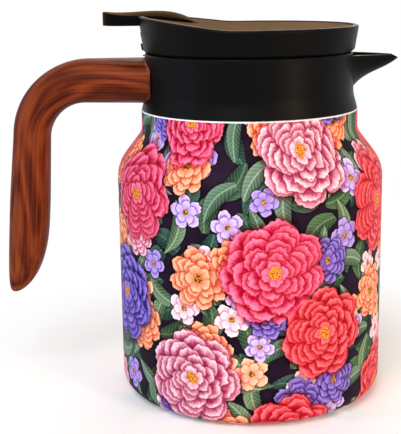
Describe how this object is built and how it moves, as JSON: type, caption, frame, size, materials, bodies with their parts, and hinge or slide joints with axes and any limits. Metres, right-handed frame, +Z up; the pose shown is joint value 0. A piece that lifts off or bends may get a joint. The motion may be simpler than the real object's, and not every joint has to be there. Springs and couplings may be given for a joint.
{
  "type": "vacuum jug",
  "caption": "Insulated steel pouring jug with a printed body, black collar with a beak spout, press-lever lid that lifts a valve, and an open wood-look handle.",
  "frame": {"origin": "centre of the foot's resting face", "axes": "+Z up along the flask, +X towards the spout, -X towards the handle"},
  "size_m": [0.1795, 0.12, 0.1726],
  "materials": {
    "printed_steel": "satin flower print over steel",
    "bare_steel": "brushed stainless steel",
    "black_plastic": "satin black moulding",
    "wood_look": "satin wood-look coating",
    "silicone": "translucent silicone",
    "bright_steel": "bright stainless steel",
    "solder": "dull solder"
  },
  "bodies": {
    "jug": {"outer_shell": "printed_steel", "inner_flask": "bare_steel", "base_plate": "bare_steel", "base_pad": "silicone", "vacuum_plug": "solder", "getter_cup": "bare_steel", "neck_gasket": "silicone", "collar": "black_plastic", "handle_grip": "wood_look", "handle_screws": "bright_steel"},
    "seal": {"lid_seal": "silicone"},
    "lid": {"lid_band": "black_plastic", "lid_top": "black_plastic", "stopper_body": "black_plastic", "seat_plate": "black_plastic", "lid_screws": "bright_steel", "lever_pin": "bright_steel", "stem_o_ring": "silicone", "o_ring_cap": "black_plastic", "valve_spring": "bright_steel"},
    "lever": {"lever": "black_plastic"},
    "valve": {"valve_stem": "bright_steel", "stem_nut": "bright_steel", "valve_disc": "black_plastic", "valve_seal": "silicone", "valve_retainer": "black_plastic"}
  },
  "joints": [
    {"name": "lid_lift", "type": "slide", "parent": "jug", "child": "seal", "axis": [0, 0, 1], "range_m": [0, 0.045]},
    {"name": "lid_turn", "type": "hinge", "parent": "seal", "child": "lid", "pos_m": [0, 0, 0.14], "axis": [0, 0, 1], "range_deg": [0, 90]},
    {"name": "lever_press", "type": "hinge", "parent": "lid", "child": "lever", "pos_m": [-0.027, 0, 0.16], "axis": [0, -1, 0], "range_deg": [0, 8], "stiffness_Nm_per_rad": 2, "springref_deg": -5.73},
    {"name": "valve_lift", "type": "slide", "parent": "lid", "child": "valve", "axis": [0, 0, 1], "range_m": [0, 0.0038], "deforming": ["valve_spring"]}
  ],
  "couplings": [
    {"joint": "valve_lift", "follows": "lever_press", "m_per_rad": 0.027}
  ]
}
